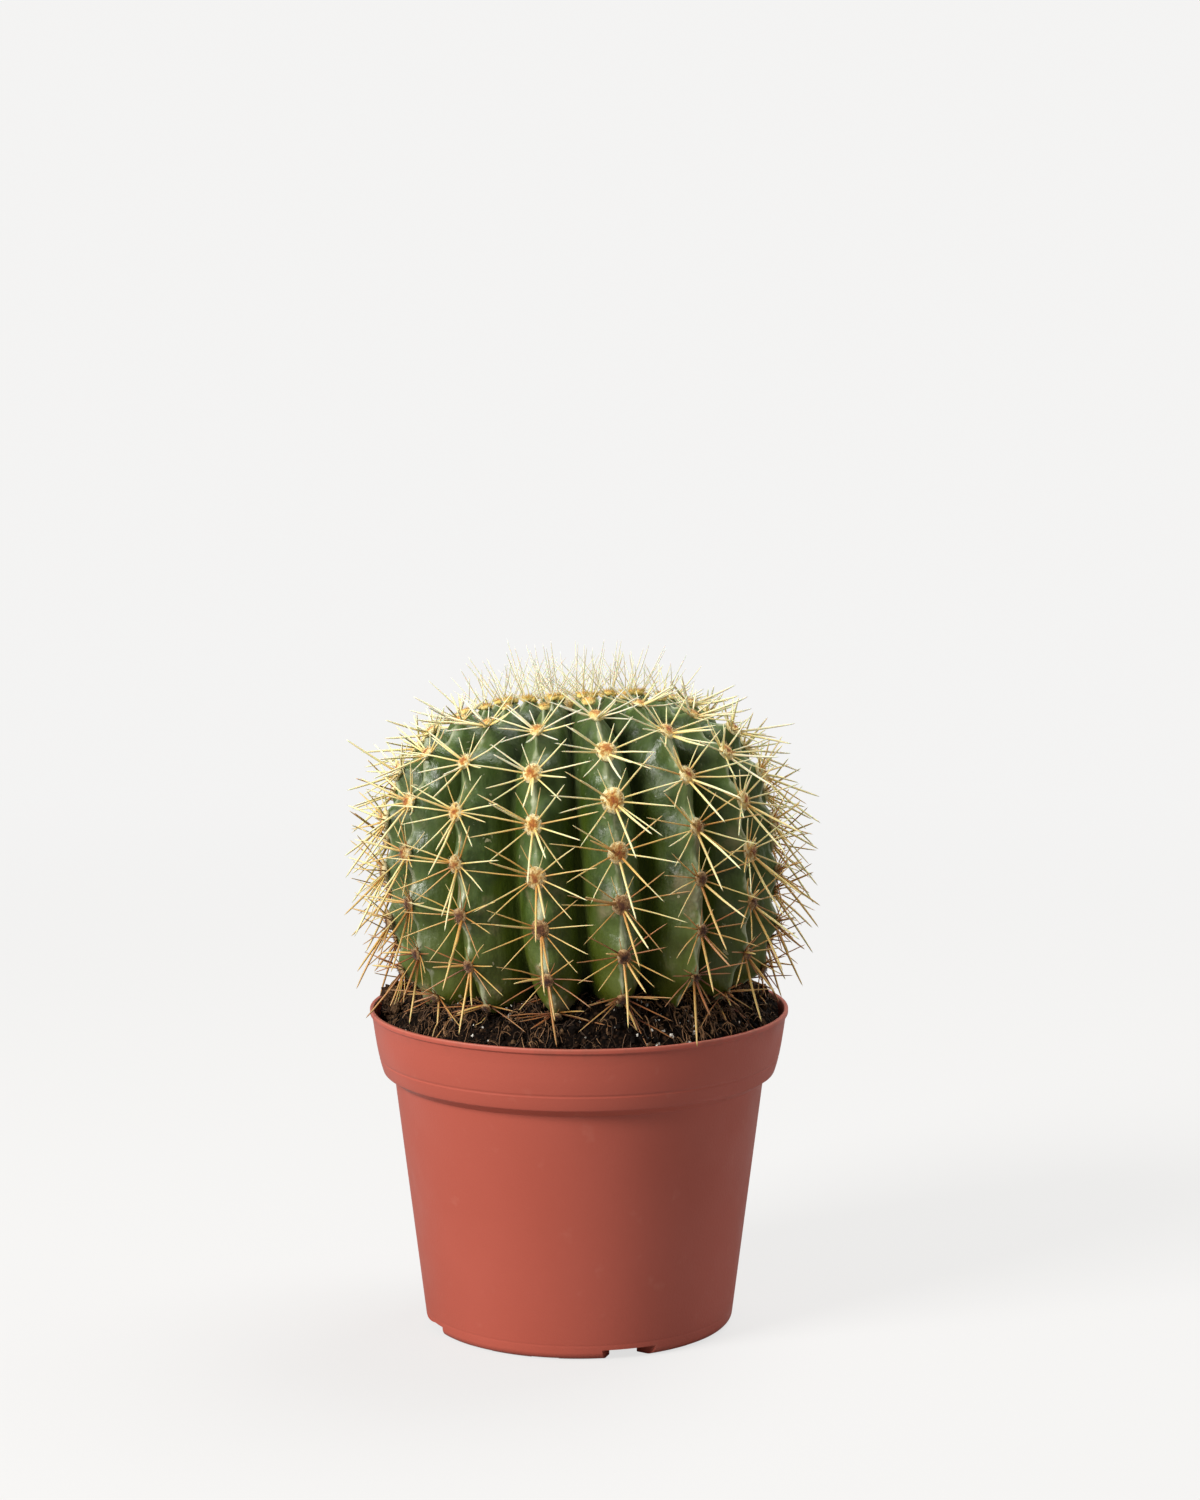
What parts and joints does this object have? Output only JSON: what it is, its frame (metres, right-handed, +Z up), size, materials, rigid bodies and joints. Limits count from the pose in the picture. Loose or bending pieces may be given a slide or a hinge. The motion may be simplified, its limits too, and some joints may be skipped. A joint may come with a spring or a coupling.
{
  "type": "potted cactus",
  "caption": "Round ribbed cactus with long pale spines, standing in soil in a tapered plastic nursery pot with a wide collar, for display on a shelf or table.",
  "frame": {"origin": "centre of the pot's foot, on the surface that it stands on", "axes": "+Z up along the pot's axis; -Y to the front of the plant, +X to its right seen from the front"},
  "size_m": [0.1349, 0.1364, 0.199],
  "materials": {
    "pot": "satin moulded terracotta-coloured plastic",
    "soil": "dark damp peat potting mix, crumbly and rough",
    "cactus": "waxy dark green skin with a soft sheen and dull corky marks",
    "spines": "smooth horny spines, pale yellow with red-brown bases",
    "wool": "short dense cream felt",
    "perlite": "white crumbly volcanic grains"
  },
  "bodies": {
    "root": {"pot": "pot", "soil": "soil", "cactus": "cactus"}
  },
  "joints": []
}
